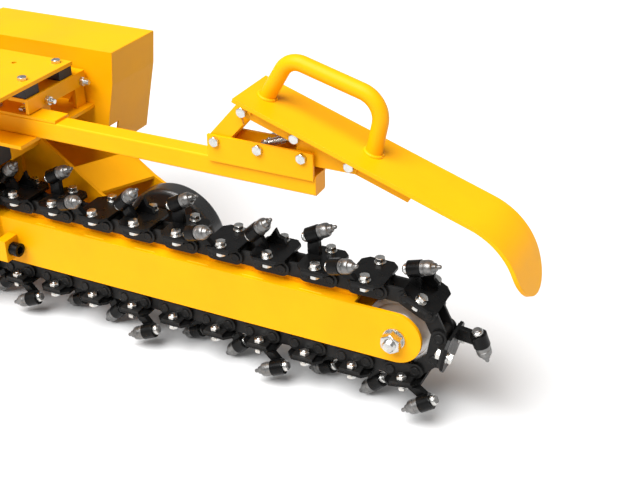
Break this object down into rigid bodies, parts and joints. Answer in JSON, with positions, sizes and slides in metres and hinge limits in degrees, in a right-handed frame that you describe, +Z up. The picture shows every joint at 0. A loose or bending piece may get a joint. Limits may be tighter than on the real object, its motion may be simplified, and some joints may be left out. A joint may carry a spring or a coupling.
{
  "type": "trencher",
  "caption": "Trencher digging unit: boom with a chain of bolted plates and rotary bits, crumber on an arm above, support wheel, rubber-mounted deck and hitch plate.",
  "frame": {"origin": "centre of the hitch plate's four-hole pattern, on the plate's rear face, level with the boom's centre line", "axes": "+X along the boom from the hitch to its nose, +Y towards the support wheel, +Z up"},
  "size_m": [1.6656, 0.51, 0.6825],
  "materials": {
    "yellow_paint": "glossy industrial yellow paint",
    "black_steel": "satin black chain steel",
    "turned_steel": "turned, unpainted steel",
    "polished_steel": "machined running surface",
    "zinc": "zinc plated",
    "rubber": "moulded black rubber",
    "tyre": "smooth solid rubber",
    "rim_paint": "black painted pressed disc"
  },
  "bodies": {
    "frame": {"arm_brackets": "yellow_paint", "arm_clamp": "yellow_paint", "arm_end_cap": "yellow_paint", "base_plates": "black_steel", "bearing_bolts": "zinc", "bearings": "black_steel", "bench_plate": "yellow_paint", "bit_clips": "zinc", "bit_holders": "black_steel", "boom_socket": "yellow_paint", "boom_tongue": "yellow_paint", "bracket_bolts": "zinc", "chain_inner_links": "black_steel", "chain_outer_links": "black_steel", "chain_pins": "black_steel", "chain_rollers": "black_steel", "crumber_arm": "yellow_paint", "deck_plate": "yellow_paint", "deck_rails": "yellow_paint", "drive_sprocket": "polished_steel", "fork_crossplates": "yellow_paint", "fork_plates": "yellow_paint", "frame_bolts": "zinc", "frame_nuts": "zinc", "frame_sides": "yellow_paint", "front_plate": "yellow_paint", "hitch_plate": "yellow_paint", "knife_fins": "black_steel", "lift_spring": "zinc", "plate_bolts": "zinc", "plate_nuts": "black_steel", "rail_posts": "yellow_paint", "rotary_bits": "turned_steel", "rubber_mounts": "rubber", "side_guard": "yellow_paint", "spoil_flap": "rubber", "wheel_bolt": "zinc", "wheel_nut": "zinc", "wheel_spacers": "zinc"},
    "drive": {"drive_shaft": "polished_steel"},
    "boom": {"boom_sides": "yellow_paint", "boom_skins": "yellow_paint", "chain_rails": "yellow_paint", "tension_lug": "yellow_paint", "nose_bolt": "zinc", "nose_nut": "zinc", "nose_washers": "zinc", "nose_sleeve": "polished_steel", "nose_spacers": "polished_steel"},
    "idler": {"idler_wheel": "polished_steel"},
    "screw": {"tension_screw": "black_steel"},
    "wheel": {"wheel_tyre": "tyre", "wheel_rim": "rim_paint"},
    "crumber": {"crumber_plate": "yellow_paint", "crumber_cheeks": "yellow_paint", "crumber_ribs": "yellow_paint", "crumber_handle": "yellow_paint", "crumber_bolts": "zinc", "crumber_nuts": "zinc"},
    "strut": {"strut": "yellow_paint"}
  },
  "joints": [
    {"name": "drive_spin", "type": "hinge", "parent": "frame", "child": "drive", "pos_m": [0.3, 0, 0], "axis": [0, 1, 0], "continuous": true},
    {"name": "boom_slide", "type": "slide", "parent": "frame", "child": "boom", "axis": [1, 0, 0], "range_m": [-0.03, 0]},
    {"name": "idler_spin", "type": "hinge", "parent": "boom", "child": "idler", "pos_m": [1.41742, 0, 0], "axis": [0, 1, 0], "continuous": true},
    {"name": "screw_turn", "type": "hinge", "parent": "frame", "child": "screw", "pos_m": [0.5, -0.061, -0.008], "axis": [1, 0, 0], "range_deg": [-4320, 0]},
    {"name": "wheel_spin", "type": "hinge", "parent": "frame", "child": "wheel", "pos_m": [0.82242, 0.147, -0.01], "axis": [0, 1, 0], "continuous": true},
    {"name": "crumber_swing", "type": "hinge", "parent": "frame", "child": "crumber", "pos_m": [1.22442, 0, 0.324], "axis": [0, -1, 0], "range_deg": [0, 16], "deforming": ["lift_spring"]},
    {"name": "strut_swing", "type": "hinge", "parent": "frame", "child": "strut", "pos_m": [1.04442, 0, 0.324], "axis": [0, -1, 0], "range_deg": [0, 56]}
  ],
  "couplings": [
    {"joint": "idler_spin", "follows": "drive_spin", "ratio": 1},
    {"joint": "screw_turn", "follows": "boom_slide", "rad_per_m": 2513.3},
    {"joint": "strut_swing", "follows": "crumber_swing", "ratio": 3.5}
  ]
}
